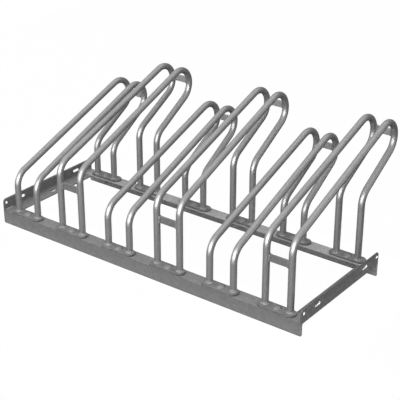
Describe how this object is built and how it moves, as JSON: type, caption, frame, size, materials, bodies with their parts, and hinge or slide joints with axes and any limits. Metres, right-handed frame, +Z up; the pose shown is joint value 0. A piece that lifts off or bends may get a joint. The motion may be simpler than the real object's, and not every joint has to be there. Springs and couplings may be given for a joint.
{
  "type": "floor bike rack",
  "caption": "Freestanding galvanised rack: a base frame of steel angles carries pairs of bent tube loops, alternately low and high, each pair holding a bicycle wheel.",
  "frame": {"origin": "on the ground, under the middle of the whole rack's bounding box", "axes": "+X to the right along the long rails, seen from the side where wheels go in; +Y to the back, where the loops' tops overhang; +Z up"},
  "size_m": [1.05, 0.5369, 0.4159],
  "materials": {
    "galvanised_angle": "hot-dip galvanised, dull with a faint spangle",
    "galvanised_tube": "hot-dip galvanised, smooth and slightly shiny",
    "galvanised_flat_bar": "hot-dip galvanised, dull",
    "galvanised_weld": "hot-dip galvanised weld metal, brighter and rougher",
    "zinc_plated_fastener": "zinc plated, satin"
  },
  "bodies": {
    "root": {"front_rail": "galvanised_angle", "rear_rail": "galvanised_angle", "side_rail_left": "galvanised_angle", "side_rail_right": "galvanised_angle", "loop_1_left": "galvanised_tube", "loop_1_right": "galvanised_tube", "loop_2_left": "galvanised_tube", "loop_2_right": "galvanised_tube", "loop_3_left": "galvanised_tube", "loop_3_right": "galvanised_tube", "loop_4_left": "galvanised_tube", "loop_4_right": "galvanised_tube", "loop_5_left": "galvanised_tube", "loop_5_right": "galvanised_tube", "loop_6_left": "galvanised_tube", "loop_6_right": "galvanised_tube", "front_foot_plate_1": "galvanised_flat_bar", "front_foot_plate_2": "galvanised_flat_bar", "front_foot_plate_3": "galvanised_flat_bar", "front_foot_plate_4": "galvanised_flat_bar", "front_foot_plate_5": "galvanised_flat_bar", "front_foot_plate_6": "galvanised_flat_bar", "rear_foot_plate_1": "galvanised_flat_bar", "rear_foot_plate_2": "galvanised_flat_bar", "rear_foot_plate_3": "galvanised_flat_bar", "rear_foot_plate_4": "galvanised_flat_bar", "rear_foot_plate_5": "galvanised_flat_bar", "rear_foot_plate_6": "galvanised_flat_bar", "apex_bar_1": "galvanised_flat_bar", "apex_bar_2": "galvanised_flat_bar", "apex_bar_3": "galvanised_flat_bar", "apex_bar_4": "galvanised_flat_bar", "apex_bar_5": "galvanised_flat_bar", "apex_bar_6": "galvanised_flat_bar", "rest_bar_2": "galvanised_flat_bar", "rest_bar_4": "galvanised_flat_bar", "rest_bar_6": "galvanised_flat_bar", "foot_bolts": "zinc_plated_fastener", "foot_washers": "zinc_plated_fastener", "foot_nuts": "zinc_plated_fastener", "front_foot_welds": "galvanised_weld", "rear_foot_welds": "galvanised_weld", "bar_welds": "galvanised_weld", "corner_welds": "galvanised_weld"}
  },
  "joints": []
}
